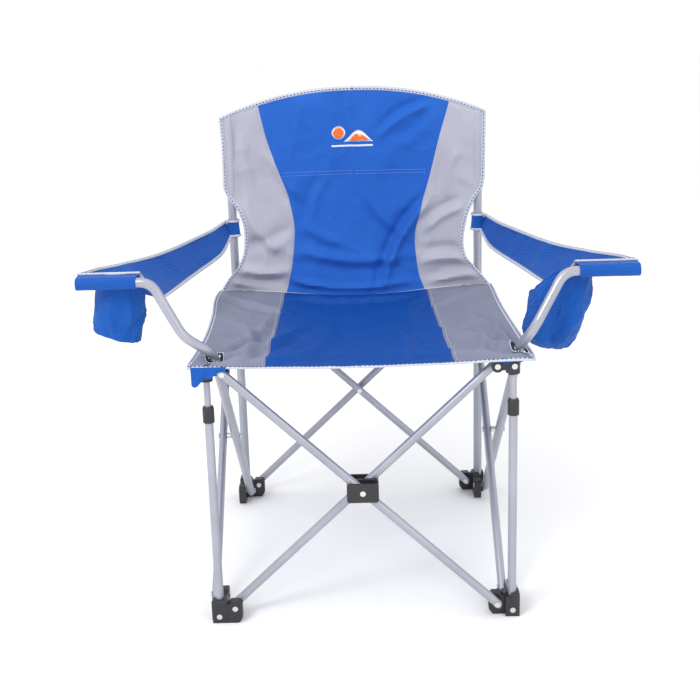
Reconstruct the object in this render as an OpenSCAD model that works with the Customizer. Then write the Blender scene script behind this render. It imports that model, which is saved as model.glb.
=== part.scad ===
// Folding camp chair: four scissor pairs of steel tube between four corner legs,
// a sewn cloth seat and back, and two cloth armrests on bent arm tubes.
// +X is the sitter's left-hand side as seen from the front, -Y is the front, +Z is up.
// The origin is on the floor, under the middle of the chair.

/* [Frame] */
// Distance between the two pivots at the bottom of each scissor pair
pivot_span = 488; // [470:1:500]
// Height from the lower pivots to the upper pivots
pivot_rise = 460; // [440:1:480]
// Height of the lower pivots above the floor
pivot_z = 29; // [26:1:32]
// How far each pivot stands in from its leg, sideways
ear_x = 30; // [28:1:34]
// How far each pivot stands in from its leg, front to back
ear_y = 45; // [42:1:48]
// Height of the back posts
post_top = 890; // [860:1:920]

/* [Tubes] */
// Diameter of the scissor tubes and of the lower front legs
tube_d = 16; // [15:0.5:17]
// Diameter of the two tubes that go on as arm tubes
arm_d = 18; // [17:0.5:19]
// Diameter of the back posts
post_d = 19; // [18:0.5:20]
// Diameter of the thin rods that telescope into the front legs
rod_d = 12; // [11:0.5:12.5]
// Wall of every tube
wall = 1.2; // [1:0.1:1.3]

/* [Arms] */
// Height of the arm tube's level end
arm_z = 655; // [645:1:665]
// How far out the arm tube ends
arm_reach = 480; // [470:1:485]
// How far forward of the middle the arm tube's level end lies
arm_front = 285; // [280:1:288]

/* [Cloth] */
// Thickness of the cloth solids
cloth = 4; // [3:0.5:5]
// Height of the middle of the seat at its lowest
seat_low = 488; // [478:1:495]
// Height of the middle of the back's top edge
back_top = 948; // [930:1:960]
// Half the width of the middle panel at the seat's front edge
centre_front_x = 170; // [150:1:185]
// The same where the seat meets the back
centre_rear_x = 160; // [140:1:170]
// The same at the waist of the back
centre_waist_x = 135; // [115:1:150]
// The same at the back's top edge
centre_top_x = 207; // [180:1:220]
// Radius of the cup holder at its mouth
cup_r = 45; // [42:1:46]
// Depth of the cup holder
cup_depth = 98; // [90:1:105]

/* [Hidden] */
$fn = 48;

steel = [0.72, 0.73, 0.78];
plastic = [0.13, 0.13, 0.16];
rivet_metal = [0.80, 0.81, 0.84];
blue = [0.10, 0.30, 0.72];
grey = [0.55, 0.55, 0.60];

// Clearance of a running fit, of two pieces that sit still, of a loose slide, and of a plug in a bent tube
run_gap = 0.05;
seat_gap = 0.05;
slide_gap = 0.3;
plug_gap = 0.4;

leg_x = pivot_span / 2 + ear_x;
leg_y = pivot_span / 2 + ear_y;
half = pivot_span / 2;
top_z = pivot_z + pivot_rise;
mid_z = pivot_z + pivot_rise / 2;
tube_len = norm([pivot_span, pivot_rise]);
tube_angle = atan2(pivot_rise, pivot_span);

// An ear is a flat plate; a tube runs beside it with this much air between
ear_half = 2.5;
ear_thick = 13;
ear_air = 1.8;
tube_off = ear_half + ear_air + tube_d / 2;
arm_off = ear_half + ear_air + arm_d / 2;
pin_r = 3;
head_r = 5.2;
head_h = 2;

foot_h = 46;
foot_edge = 14;
foot_chamfer = 7;
socket_floor = 6;
leg_rivet_z = 14;
collar_top = 425;
collar_h = 30;
collar_lip = 5;
rod_bottom = 150;
slider_h = 40;
slider_r = 14.5;
bracket_h = 32;
hub_w = 58;
hub_h = 36;
hub_wall = 3.7;
hub_air = 0.5;

// ---- helpers ------------------------------------------------------------------

function unit(v) = v / norm(v);

// A closed cylinder from point a to point b
module rod(a, b, r) {
    d = b - a;
    translate(a)
        rotate([0, acos(d[2] / norm(d)), atan2(d[1], d[0])])
            cylinder(h = norm(d), r = r);
}

// Points along a line of corners p, each inner corner rounded to radius bends[i] in BEND_STEPS steps
BEND_STEPS = 7;
function bend_points(c, u, w, bend_r) =
    let (turn = acos(u * w), centre = c + unit(w - u) * bend_r / cos(turn / 2),
        e = unit(c - u * bend_r * tan(turn / 2) - centre))
    [for (k = [0:BEND_STEPS]) centre + bend_r * (cos(turn * k / BEND_STEPS) * e + sin(turn * k / BEND_STEPS) * u)];
function rounded_path(p, bends) = [
    p[0],
    for (i = [1:len(p) - 2]) each bend_points(p[i], unit(p[i] - p[i - 1]), unit(p[i + 1] - p[i]), bends[i]),
    p[len(p) - 1]
];

// Ring of n points of radius r about point i of a path
ring_up = unit([0.3, 1, 0.3]);
function tangent(path, i) = unit(path[min(i + 1, len(path) - 1)] - path[max(i - 1, 0)]);
function ring(path, i, r, n) =
    let (t = tangent(path, i), e = unit(cross(t, ring_up)), f = cross(t, e))
    [for (k = [0:n - 1]) path[i] + r * (cos(360 * k / n) * e + sin(360 * k / n) * f)];

// Solid round bar swept along a path
module swept_bar(path, r, n) {
    rings = len(path);
    points = [for (i = [0:rings - 1]) each ring(path, i, r, n)];
    sides = [for (i = [0:rings - 2], k = [0:n - 1])
        [(i + 1) * n + k, (i + 1) * n + (k + 1) % n, i * n + (k + 1) % n, i * n + k]];
    start = [for (k = [0:n - 1]) k];
    end = [for (k = [n - 1:-1:0]) (rings - 1) * n + k];
    polyhedron(points, concat(sides, [start, end]));
}

// A pin through a joint along Y, with a head on both ends
module pin_y(x, z, y0, y1) {
    translate([x, y0, z]) rotate([-90, 0, 0]) cylinder(h = y1 - y0, r = pin_r);
    translate([x, y0 - head_h, z]) rotate([-90, 0, 0]) cylinder(h = head_h, r = head_r);
    translate([x, y1, z]) rotate([-90, 0, 0]) cylinder(h = head_h, r = head_r);
}

// The same along X
module pin_x(y, z, x0, x1) {
    translate([x0, y, z]) rotate([0, 90, 0]) cylinder(h = x1 - x0, r = pin_r);
    translate([x0 - head_h, y, z]) rotate([0, 90, 0]) cylinder(h = head_h, r = head_r);
    translate([x1, y, z]) rotate([0, 90, 0]) cylinder(h = head_h, r = head_r);
}

// A blind rivet into a corner piece, from its outer face to just past the leg, and its hole
rivet_in = 11;
module leg_rivet(face, z) {
    translate([0, -face, z]) rotate([-90, 0, 0]) cylinder(h = face + rivet_in, r = pin_r);
    translate([0, -face - head_h, z]) rotate([-90, 0, 0]) cylinder(h = head_h, r = head_r);
}

module leg_rivet_hole(z) {
    translate([0, -60, z]) rotate([-90, 0, 0]) cylinder(h = 60 + rivet_in + seat_gap, r = pin_r + seat_gap);
}

module bore_y(x, z, r) {
    translate([x, -60, z]) rotate([-90, 0, 0]) cylinder(h = 120, r = r);
}

module bore_x(y, z, r) {
    translate([-60, y, z]) rotate([0, 90, 0]) cylinder(h = 120, r = r);
}

// Scissor tube along local X, its pins along local Y, its ends rounded about the pins
module scissor_tube() {
    difference() {
        intersection() {
            translate([-tube_len / 2 - 12, 0, 0]) rotate([0, 90, 0])
                cylinder(h = tube_len + 24, r = tube_d / 2);
            rotate([90, 0, 0]) linear_extrude(30, center = true) union() {
                square([tube_len, tube_d + 2], center = true);
                for (s = [-1, 1]) translate([s * tube_len / 2, 0]) circle(r = tube_d / 2 + 1);
            }
        }
        translate([-tube_len / 2 + 5, 0, 0]) rotate([0, 90, 0])
            cylinder(h = tube_len - 10, r = tube_d / 2 - wall);
        for (x = [-tube_len / 2, 0, tube_len / 2]) bore_y(x, 0, pin_r + run_gap);
    }
}

// Corner pieces are drawn about their leg, with +X and +Y pointing in to the chair.
// A cross tube or side tube lies outside (-1) or inside (+1) its ear plate.
function plate_low(side) = side > 0 ? -ear_thick : -ear_half;
function plate_high(side) = side > 0 ? ear_half : ear_thick;
function off_of(side, d) = side * (ear_half + ear_air + d / 2);

// Outline of an ear from the leg out to the pivot: flat foot, chamfered corners
module foot_outline(reach) {
    polygon([
        [-foot_edge, foot_chamfer], [foot_chamfer - foot_edge, 0],
        [reach + 13 - foot_chamfer, 0], [reach + 13, foot_chamfer + 3],
        [reach + 13, pivot_z + 8], [reach + 7, pivot_z + 14], [reach - 8, pivot_z + 14],
        [foot_edge + 4, foot_h - 9], [foot_edge - 3, foot_h], [-foot_edge + 3, foot_h],
        [-foot_edge, foot_h - 3]
    ]);
}

module foot(cross_side, side_side, leg_r) {
    difference() {
        union() {
            translate([0, plate_high(cross_side), 0]) rotate([90, 0, 0])
                linear_extrude(plate_high(cross_side) - plate_low(cross_side)) foot_outline(ear_x);
            translate([plate_low(side_side), 0, 0]) rotate([90, 0, 90])
                linear_extrude(plate_high(side_side) - plate_low(side_side)) foot_outline(ear_y);
            translate([-ear_thick, -ear_thick, 0]) cube([2 * ear_thick, 2 * ear_thick, foot_h - 6]);
        }
        translate([0, 0, socket_floor]) cylinder(h = 60, r = leg_r + seat_gap);
        leg_rivet_hole(leg_rivet_z);
        translate([ear_x, 0, 0]) bore_y(0, pivot_z, pin_r + run_gap);
        translate([0, ear_y, 0]) bore_x(0, pivot_z, pin_r + run_gap);
    }
}

// The leg's rivet and the two pivot pins of a foot
module foot_rivets(cross_side, side_side, side_d) {
    reach_x = cross_side > 0 ? [-ear_thick, off_of(1, tube_d) + tube_d / 2]
        : [off_of(-1, tube_d) - tube_d / 2, ear_thick];
    reach_y = side_side > 0 ? [-ear_thick, off_of(1, side_d) + side_d / 2]
        : [off_of(-1, side_d) - side_d / 2, ear_thick];
    leg_rivet(foot_edge, leg_rivet_z);
    pin_y(ear_x, pivot_z, reach_x[0], reach_x[1]);
    pin_x(ear_y, pivot_z, reach_y[0], reach_y[1]);
}

// Outline of an ear on a slider or a top bracket: two round lobes and a waist
module lobe_outline(reach, lobe_r, height) {
    union() {
        translate([0, -height / 2]) square([10, height]);
        translate([0, -lobe_r + 4]) square([reach, 2 * lobe_r - 8]);
        translate([reach, 0]) circle(r = lobe_r);
    }
}

// A block that holds a round bar of radius bar_r and carries two ears at height 0
module ear_block(cross_side, side_side, bar_r, block_r, height) {
    difference() {
        union() {
            translate([0, 0, -height / 2]) cylinder(h = height, r = block_r);
            translate([0, plate_high(cross_side), 0]) rotate([90, 0, 0])
                linear_extrude(plate_high(cross_side) - plate_low(cross_side))
                    lobe_outline(ear_x, 11, height);
            translate([plate_low(side_side), 0, 0]) rotate([90, 0, 90])
                linear_extrude(plate_high(side_side) - plate_low(side_side))
                    lobe_outline(ear_y, 11, height);
        }
        translate([0, 0, -60]) cylinder(h = 120, r = bar_r);
        translate([ear_x, 0, 0]) bore_y(0, 0, pin_r + run_gap);
        translate([0, ear_y, 0]) bore_x(0, 0, pin_r + run_gap);
    }
}

module ear_pins(cross_side, side_side, side_d) {
    reach_x = cross_side > 0 ? [-ear_thick, off_of(1, tube_d) + tube_d / 2]
        : [off_of(-1, tube_d) - tube_d / 2, ear_thick];
    reach_y = side_side > 0 ? [-ear_thick, off_of(1, side_d) + side_d / 2]
        : [off_of(-1, side_d) - side_d / 2, ear_thick];
    pin_y(ear_x, 0, reach_x[0], reach_x[1]);
    pin_x(ear_y, 0, reach_y[0], reach_y[1]);
}

// Puts a corner piece at its corner: sx is -1 left, +1 right; sy is -1 front, +1 rear
module at_corner(sx, sy, z = 0) {
    translate([sx * leg_x, sy * leg_y, z]) scale([-sx, -sy, 1]) children();
}

// ---- corner pieces ---------------------------------------------------------------

module rear_foot_left() { color(plastic) at_corner(-1, 1) foot(-1, 1, post_d / 2); }
module rear_foot_right() { color(plastic) at_corner(1, 1) foot(1, -1, post_d / 2); }
module front_foot_left() { color(plastic) at_corner(-1, -1) foot(1, -1, tube_d / 2); }
module front_foot_right() { color(plastic) at_corner(1, -1) foot(-1, 1, tube_d / 2); }

module rear_foot_rivets_left() { color(rivet_metal) at_corner(-1, 1) foot_rivets(-1, 1, arm_d); }
module rear_foot_rivets_right() { color(rivet_metal) at_corner(1, 1) foot_rivets(1, -1, arm_d); }
module front_foot_rivets_left() { color(rivet_metal) at_corner(-1, -1) foot_rivets(1, -1, tube_d); }
module front_foot_rivets_right() { color(rivet_metal) at_corner(1, -1) foot_rivets(-1, 1, tube_d); }

// An upright hollow tube with the foot's rivet hole across it
module upright(sx, sy, d, low, high) {
    color(steel) translate([sx * leg_x, sy * leg_y, 0]) difference() {
        translate([0, 0, low]) cylinder(h = high - low, r = d / 2);
        translate([0, 0, low - 1]) cylinder(h = high - low + 2, r = d / 2 - wall);
        bore_y(0, leg_rivet_z, pin_r + seat_gap);
    }
}

module back_post_left() { upright(-1, 1, post_d, socket_floor + seat_gap, post_top); }
module back_post_right() { upright(1, 1, post_d, socket_floor + seat_gap, post_top); }
module front_leg_left() { upright(-1, -1, tube_d, socket_floor + seat_gap, collar_top - collar_lip); }
module front_leg_right() { upright(1, -1, tube_d, socket_floor + seat_gap, collar_top - collar_lip); }

// Plastic collar on the end of the lower leg, which the thin rod slides through
module leg_collar(sx) {
    color(plastic) translate([sx * leg_x, -leg_y, collar_top - collar_h]) difference() {
        union() {
            cylinder(h = collar_h - 4, r = tube_d / 2 + 2.6);
            translate([0, 0, collar_h - 4]) cylinder(h = 4, r1 = tube_d / 2 + 2.6, r2 = tube_d / 2 + 1);
        }
        translate([0, 0, -1]) cylinder(h = collar_h - collar_lip + 1 + seat_gap, r = tube_d / 2 + seat_gap);
        translate([0, 0, -1]) cylinder(h = collar_h + 2, r = rod_d / 2 + slide_gap);
    }
}

module leg_collar_left() { leg_collar(-1); }
module leg_collar_right() { leg_collar(1); }

// Thin rod: telescopes in the lower leg, held in the top bracket
module leg_rod(sx) {
    color(steel) translate([sx * leg_x, -leg_y, 0]) difference() {
        translate([0, 0, rod_bottom]) cylinder(h = top_z + bracket_h / 2 - 3 - rod_bottom, r = rod_d / 2);
        translate([0, 0, rod_bottom - 1]) cylinder(h = 600, r = rod_d / 2 - wall);
        bore_y(0, top_z, pin_r + seat_gap);
    }
}

module leg_rod_left() { leg_rod(-1); }
module leg_rod_right() { leg_rod(1); }

// Top bracket on the thin rod: a closed cap over the rod, two ears
module front_bracket(sx, cross_side, side_side) {
    color(plastic) at_corner(sx, -1, top_z) difference() {
        union() {
            ear_block(cross_side, side_side, rod_d / 2 + seat_gap, 11.5, bracket_h);
            translate([0, 0, bracket_h / 2 - 3 + seat_gap]) cylinder(h = 3, r = 11.5);
        }
        leg_rivet_hole(0);
    }
}

module front_bracket_left() { front_bracket(-1, -1, 1); }
module front_bracket_right() { front_bracket(1, 1, -1); }

module front_bracket_rivets(sx, cross_side, side_side) {
    color(rivet_metal) at_corner(sx, -1, top_z) {
        ear_pins(cross_side, side_side, arm_d);
        leg_rivet(ear_thick, 0);
    }
}

module front_bracket_rivets_left() { front_bracket_rivets(-1, -1, 1); }
module front_bracket_rivets_right() { front_bracket_rivets(1, 1, -1); }

// Slider: a sleeve that runs up and down a back post
module slider_left() {
    color(plastic) at_corner(-1, 1, top_z) ear_block(1, -1, post_d / 2 + slide_gap, slider_r, slider_h);
}
module slider_right() {
    color(plastic) at_corner(1, 1, top_z) ear_block(-1, 1, post_d / 2 + slide_gap, slider_r, slider_h);
}
module slider_rivets_left() { color(rivet_metal) at_corner(-1, 1, top_z) ear_pins(1, -1, tube_d); }
module slider_rivets_right() { color(rivet_metal) at_corner(1, 1, top_z) ear_pins(-1, 1, tube_d); }

// ---- scissor tubes ------------------------------------------------------------------

// lean is +1 when the tube's right-hand end is the high one
module cross_tube(y, lean) {
    color(steel) translate([0, y, mid_z]) rotate([0, -lean * tube_angle, 0]) scissor_tube();
}

module front_cross_outer() { cross_tube(-leg_y - tube_off, -1); }
module front_cross_inner() { cross_tube(-leg_y + tube_off, 1); }
module rear_cross_outer() { cross_tube(leg_y + tube_off, 1); }
module rear_cross_inner() { cross_tube(leg_y - tube_off, -1); }

// Plastic hub of the front pair: three walls and four blocks clear of the swinging tubes
module front_hub() {
    inner = tube_off - tube_d / 2 - hub_air;
    outer = tube_off + tube_d / 2 + hub_air;
    block_w = 9;
    color(plastic) translate([0, -leg_y, mid_z]) difference() {
        union() {
            for (y = [[-inner, inner], [-outer - hub_wall, -outer], [outer, outer + hub_wall]])
                translate([0, y[1], 0]) rotate([90, 0, 0]) linear_extrude(y[1] - y[0]) difference() {
                    square([hub_w, hub_h], center = true);
                    for (sx = [-1, 1], sz = [-1, 1])
                        translate([sx * hub_w / 2, sz * hub_h / 2]) rotate(45) square(5, center = true);
                }
            for (sy = [-1, 1], sx = [-1, 1])
                translate([sx > 0 ? hub_w / 2 - block_w : -hub_w / 2,
                    sy > 0 ? inner : -outer,
                    sx * sy > 0 ? -hub_h / 2 + 4 : -4])
                    cube([block_w, outer - inner, hub_h / 2]);
        }
        bore_y(0, 0, pin_r + run_gap);
    }
}

module front_hub_rivet() {
    reach = tube_off + tube_d / 2 + hub_air + hub_wall;
    color(rivet_metal) translate([0, -leg_y, 0]) pin_y(0, mid_z, -reach, reach);
}

// A rivet or bolt through a crossing, with a spacer ring between the tubes
module rear_cross_rivet() {
    reach = tube_off + tube_d / 2;
    gap = tube_off - tube_d / 2 - 0.1;
    color(rivet_metal) translate([0, leg_y, 0]) {
        pin_y(0, mid_z, -reach, reach);
        translate([0, -gap, mid_z]) rotate([-90, 0, 0]) cylinder(h = 2 * gap, r = 6);
    }
}

// Side scissor tube; x_side is the side of the ear plate it lies on, counted inwards
module side_tube(sx, x_side) {
    color(steel) translate([sx * (leg_x - x_side * tube_off), 0, mid_z])
        rotate([tube_angle, 0, 0]) rotate([0, 0, 90]) scissor_tube();
}

module side_cross_left() { side_tube(-1, -1); }
module side_cross_right() { side_tube(1, 1); }

module side_bolt(sx, x_side) {
    far = tube_off + tube_d / 2;
    near = arm_off + arm_d / 2;
    gap_far = tube_off - tube_d / 2 - 0.1;
    gap_near = arm_off - arm_d / 2 - 0.1;
    x0 = x_side > 0 ? -near : -far;
    x1 = x_side > 0 ? far : near;
    g0 = x_side > 0 ? -gap_near : -gap_far;
    g1 = x_side > 0 ? gap_far : gap_near;
    color(rivet_metal) translate([sx * leg_x, 0, 0]) scale([-sx, 1, 1]) {
        pin_x(0, mid_z, x0, x1);
        translate([g0, 0, mid_z]) rotate([0, 90, 0]) cylinder(h = g1 - g0, r = 6);
    }
}

module side_bolt_left() { side_bolt(-1, -1); }
module side_bolt_right() { side_bolt(1, 1); }

// ---- arm tubes ---------------------------------------------------------------------

// One tube from the rear foot to the armrest: straight through both pivots, then bent out and up
function arm_path(x) = [
    [x, half + 9 * cos(tube_angle), pivot_z - 9 * sin(tube_angle)],
    [x, half - 1.0635 * pivot_span, pivot_z + 1.0635 * pivot_rise],
    [308, -arm_front - 20, arm_z - 95],
    [362, -arm_front, arm_z],
    [arm_reach, -arm_front, arm_z]
];
arm_bends = [0, 50, 50, 35, 0];

// The straight part is a hollow tube with a solid end; the bent part starts in that end
module arm_tube(sx, x_side) {
    x = leg_x - x_side * arm_off;
    corners = arm_path(x);
    along = unit(corners[1] - corners[0]);
    joint = [x, -half, top_z] + 20 * along;
    end_wall = 8;
    path = rounded_path([joint - 4 * along, corners[1], corners[2], corners[3], corners[4]], arm_bends);
    bore_path = rounded_path([joint + along, corners[1], corners[2], corners[3],
        corners[4] + [1, 0, 0]], arm_bends);
    color(steel) scale([sx, 1, 1]) union() {
        difference() {
            rod(corners[0], joint, arm_d / 2);
            rod(corners[0] + 4 * along, joint - end_wall * along, arm_d / 2 - wall);
            for (p = [[half, pivot_z], [0, mid_z], [-half, top_z]])
                translate([x, 0, 0]) bore_x(p[0], p[1], pin_r + run_gap);
        }
        difference() {
            swept_bar(path, arm_d / 2 - 0.2, 20);
            swept_bar(bore_path, arm_d / 2 - wall, 12);
        }
    }
}

module arm_tube_left() { arm_tube(-1, 1); }
module arm_tube_right() { arm_tube(1, -1); }

module arm_plug(sx) {
    color(plastic) scale([sx, 1, 1]) translate([arm_reach, -arm_front, arm_z]) rotate([0, 90, 0]) {
        translate([0, 0, -15]) cylinder(h = 15, r = arm_d / 2 - wall - plug_gap);
        cylinder(h = 3, r = arm_d / 2);
    }
}

module arm_plug_left() { arm_plug(-1); }
module arm_plug_right() { arm_plug(1); }

// ---- cloth -----------------------------------------------------------------------

seat_edge = top_z + bracket_h / 2 + 2;
seat_front = -leg_y - 16;
seat_rear = leg_y - 27;
middle_gap = 0.3;

// Section of the seat across the chair, from the middle out to x = 312
module seat_section() {
    line = [[middle_gap, seat_low], [120, seat_low + 8], [200, seat_low + 19], [252, seat_edge], [312, seat_edge]];
    polygon([
        for (p = line) p,
        for (i = [len(line) - 1:-1:0]) line[i] + [0, cloth]
    ]);
}

// The part of the seat inside a plan outline, on side sx
module seat_solid(sx, plan) {
    scale([sx, 1, 1]) intersection() {
        translate([0, seat_rear, 0]) rotate([90, 0, 0]) linear_extrude(seat_rear - seat_front) seat_section();
        translate([0, 0, 400]) linear_extrude(200) polygon(plan);
    }
}

module seat_centre(sx) {
    color(blue) seat_solid(sx, [
        [0, seat_front], [centre_front_x - middle_gap, seat_front],
        [centre_rear_x - middle_gap, seat_rear], [0, seat_rear]
    ]);
}

// The side panel has a slit for the arm tube, which crosses it at a slant
module seat_side(sx, x_side) {
    slit_x = leg_x - x_side * arm_off;
    slit_y = half - (seat_edge + cloth / 2 - pivot_z) / pivot_rise * pivot_span;
    color(grey) difference() {
        seat_solid(sx, [
            [centre_front_x, seat_front], [306, seat_front], [311, 60], [312, seat_rear - 20],
            [300, seat_rear], [centre_rear_x, seat_rear]
        ]);
        scale([sx, 1, 1]) translate([slit_x - 11, slit_y - 21, 400]) cube([22, 42, 200]);
    }
}

module seat_centre_left() { seat_centre(-1); }
module seat_centre_right() { seat_centre(1); }
module seat_side_left() { seat_side(-1, 1); }
module seat_side_right() { seat_side(1, -1); }

// Blue cloth flaps sewn under the seat's front corners, in front of the brackets
module seat_corner_left() {
    color(blue) translate([-298, -leg_y - 25.5, top_z - 18]) cube([62, 2.5, 34]);
}
module seat_corner_right() {
    color(blue) translate([250, -leg_y - 18, top_z + 7]) cube([54, 2.5, 9]);
}

back_low = 480;
waist_up = 145;
sleeve_low = 722;
sleeve_r = post_d / 2 + 2;
back_behind = leg_y + 22.5;

// Section of the back, seen from above: from the post in to the middle
module back_section() {
    line = [[leg_x, leg_y - 2], [200, back_behind - 12], [120, back_behind - 3], [middle_gap, back_behind]];
    polygon([
        for (p = line) p,
        for (i = [len(line) - 1:-1:0]) line[i] + [0, cloth]
    ]);
}

// Outline of the back from the front, on the +X side
module back_outline() {
    polygon([
        [middle_gap, back_low], [200, back_low], [225, top_z + 23], [300, top_z + 23], [262, back_low + 75],
        [243, back_low + 125], [244, back_low + 160], [256, back_low + 205], [leg_x - 2, sleeve_low],
        [leg_x - 2, post_top], [180, back_top - 24], [100, back_top - 6], [middle_gap, back_top]
    ]);
}

module back_solid(sx, x0, x1) {
    scale([sx, 1, 1]) intersection() {
        translate([0, 0, back_low]) linear_extrude(back_top - back_low) back_section();
        translate([0, leg_y + 60, 0]) rotate([90, 0, 0]) linear_extrude(120) intersection() {
            back_outline();
            polygon([
                [x0[0], back_low], [x0[1], back_low + waist_up], [x0[2], back_top],
                [x1[2], back_top], [x1[1], back_low + waist_up], [x1[0], back_low]
            ]);
        }
    }
}

// The side panel carries the sleeve that the post stands in
module back_side(sx) {
    color(grey) difference() {
        union() {
            difference() {
                back_solid(sx, [centre_rear_x, centre_waist_x, centre_top_x], [320, 320, 320]);
                translate([sx * leg_x, leg_y, 400]) cylinder(h = sleeve_low - 400, r = slider_r + 3);
            }
            translate([sx * leg_x, leg_y, sleeve_low]) cylinder(h = post_top + 4 - sleeve_low, r = sleeve_r);
        }
        translate([sx * leg_x, leg_y, 300]) cylinder(h = post_top - 300 + seat_gap, r = post_d / 2 + 0.2);
    }
}

module back_centre(sx) {
    color(blue) back_solid(sx, [0, 0, 0],
        [centre_rear_x - middle_gap, centre_waist_x - middle_gap, centre_top_x - middle_gap]);
}

module back_side_left() { back_side(-1); }
module back_side_right() { back_side(1); }
module back_centre_left() { back_centre(-1); }
module back_centre_right() { back_centre(1); }

// Armrest: a tapering strip from the post to a hem round the arm tube
rest_z = arm_z - 4;
hem_x0 = 386;
hem_x1 = 494;
hem_r = arm_d / 2 + 3.5;
cup_x = 428;
cup_y = -222;

module armrest(sx, holed) {
    color(blue) scale([sx, 1, 1]) difference() {
        union() {
            translate([0, 0, rest_z]) linear_extrude(cloth) polygon([
                [262, 262], [288, 262], [330, 150], [388, 0], [450, -150], [482, -210],
                [494, -240], [494, -arm_front], [hem_x0, -arm_front], [374, -262], [345, -262],
                [330, -150], [305, 0], [283, 120]
            ]);
            translate([hem_x0, -arm_front, arm_z]) rotate([0, 90, 0]) cylinder(h = hem_x1 - hem_x0, r = hem_r);
        }
        translate([hem_x0 - 10, -arm_front, arm_z]) rotate([0, 90, 0])
            cylinder(h = arm_reach + 4 - hem_x0 + 10, r = arm_d / 2 + 0.3);
        if (holed) translate([cup_x, cup_y, rest_z - 5]) cylinder(h = 20, r = cup_r - 3);
    }
}

module armrest_left() { armrest(-1, true); }
module armrest_right() { armrest(1, false); }

// Cup holder: a tapering cloth bucket hung under the hole in the left armrest
module cup_holder() {
    cup_wall = 2;
    color(blue) translate([-cup_x, cup_y, rest_z - seat_gap - cup_depth]) difference() {
        cylinder(h = cup_depth, r1 = cup_r - 5, r2 = cup_r);
        translate([0, 0, cup_wall]) cylinder(h = cup_depth, r1 = cup_r - 5 - cup_wall, r2 = cup_r - cup_wall);
    }
}

// Pouch: a soft bag hung under the right armrest, open at its rear end
module side_pouch() {
    pouch_wall = 2;
    length = 120;
    front = -262;
    color(blue) translate([0, front + length, 0]) rotate([90, 0, 0]) difference() {
        linear_extrude(length) polygon([
            [340, rest_z - seat_gap], [422, rest_z - seat_gap], [418, 590], [398, 545],
            [372, 515], [335, 517], [306, 545], [316, 590]
        ]);
        translate([0, 0, -1]) linear_extrude(length - pouch_wall + 1) polygon([
            [342, rest_z - pouch_wall], [420, rest_z - pouch_wall], [416, 591], [396, 546],
            [371, 517], [336, 519], [308, 546], [318, 590]
        ]);
    }
}

// ---- build -----------------------------------------------------------------------

rear_foot_left();
rear_foot_right();
front_foot_left();
front_foot_right();
rear_foot_rivets_left();
rear_foot_rivets_right();
front_foot_rivets_left();
front_foot_rivets_right();
back_post_left();
back_post_right();
front_leg_left();
front_leg_right();
leg_collar_left();
leg_collar_right();
leg_rod_left();
leg_rod_right();
front_bracket_left();
front_bracket_right();
front_bracket_rivets_left();
front_bracket_rivets_right();
slider_left();
slider_right();
slider_rivets_left();
slider_rivets_right();
front_cross_outer();
front_cross_inner();
front_hub();
front_hub_rivet();
rear_cross_outer();
rear_cross_inner();
rear_cross_rivet();
side_cross_left();
side_cross_right();
side_bolt_left();
side_bolt_right();
arm_tube_left();
arm_tube_right();
arm_plug_left();
arm_plug_right();
seat_side_left();
seat_side_right();
seat_centre_left();
seat_centre_right();
seat_corner_left();
seat_corner_right();
back_side_left();
back_side_right();
back_centre_left();
back_centre_right();
armrest_left();
armrest_right();
cup_holder();
side_pouch();
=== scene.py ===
"""Looks of the folding camp chair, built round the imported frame.

Metres throughout. +X is the right of the chair as seen from the front, -Y its front, +Z up.
A side is written sx: -1 left, +1 right. Cloth thickness is modelled, so every sheet is a closed mesh.
"""
import math
import bpy
from mathutils import Matrix, Vector, noise


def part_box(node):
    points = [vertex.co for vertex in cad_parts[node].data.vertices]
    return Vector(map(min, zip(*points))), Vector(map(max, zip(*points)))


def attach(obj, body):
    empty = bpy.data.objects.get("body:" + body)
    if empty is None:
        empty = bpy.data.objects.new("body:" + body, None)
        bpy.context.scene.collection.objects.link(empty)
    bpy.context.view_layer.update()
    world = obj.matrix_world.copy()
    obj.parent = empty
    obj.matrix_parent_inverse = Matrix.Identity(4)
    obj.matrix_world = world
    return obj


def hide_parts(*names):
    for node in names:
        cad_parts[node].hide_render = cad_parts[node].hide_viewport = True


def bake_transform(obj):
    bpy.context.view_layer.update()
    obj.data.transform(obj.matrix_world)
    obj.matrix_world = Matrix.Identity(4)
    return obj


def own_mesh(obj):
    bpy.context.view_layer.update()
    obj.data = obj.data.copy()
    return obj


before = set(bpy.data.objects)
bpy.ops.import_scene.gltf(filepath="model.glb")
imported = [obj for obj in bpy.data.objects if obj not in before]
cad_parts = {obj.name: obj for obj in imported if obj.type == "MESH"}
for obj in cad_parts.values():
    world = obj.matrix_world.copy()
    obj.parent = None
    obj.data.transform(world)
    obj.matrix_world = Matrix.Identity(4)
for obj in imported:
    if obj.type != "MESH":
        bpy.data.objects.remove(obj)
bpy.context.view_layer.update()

SIDES = {-1: "left", 1: "right"}
CLOTH = 0.0013  # usual thickness of a sheet
SHARP_ANGLE = math.radians(50)  # edges bent further than this stay sharp

# ---- places taken from the CAD nodes ---------------------------------------------------


def middle(node):
    low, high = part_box(node)
    return (low + high) / 2


POST = middle("back_post_right")
POST_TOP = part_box("back_post_right")[1].z
POST_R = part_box("back_post_right")[1].x - POST.x
SEAT_LOW_BOX, SEAT_HIGH_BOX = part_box("seat_side_right")
SEAT_Z = SEAT_HIGH_BOX.z - 0.003
SEAT_FRONT_Y = SEAT_LOW_BOX.y - 0.006
BACK_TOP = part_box("back_centre_right")[1].z
SEAM_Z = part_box("seat_centre_right")[0].z - 0.001
HEM = middle("arm_plug_right")
HEM_OUT_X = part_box("armrest_right")[1].x
CUP = middle("cup_holder")
CUP_LOW, CUP_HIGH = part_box("cup_holder")
POUCH_LOW, POUCH_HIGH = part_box("side_pouch")

# ---- camera ----------------------------------------------------------------------------


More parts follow.
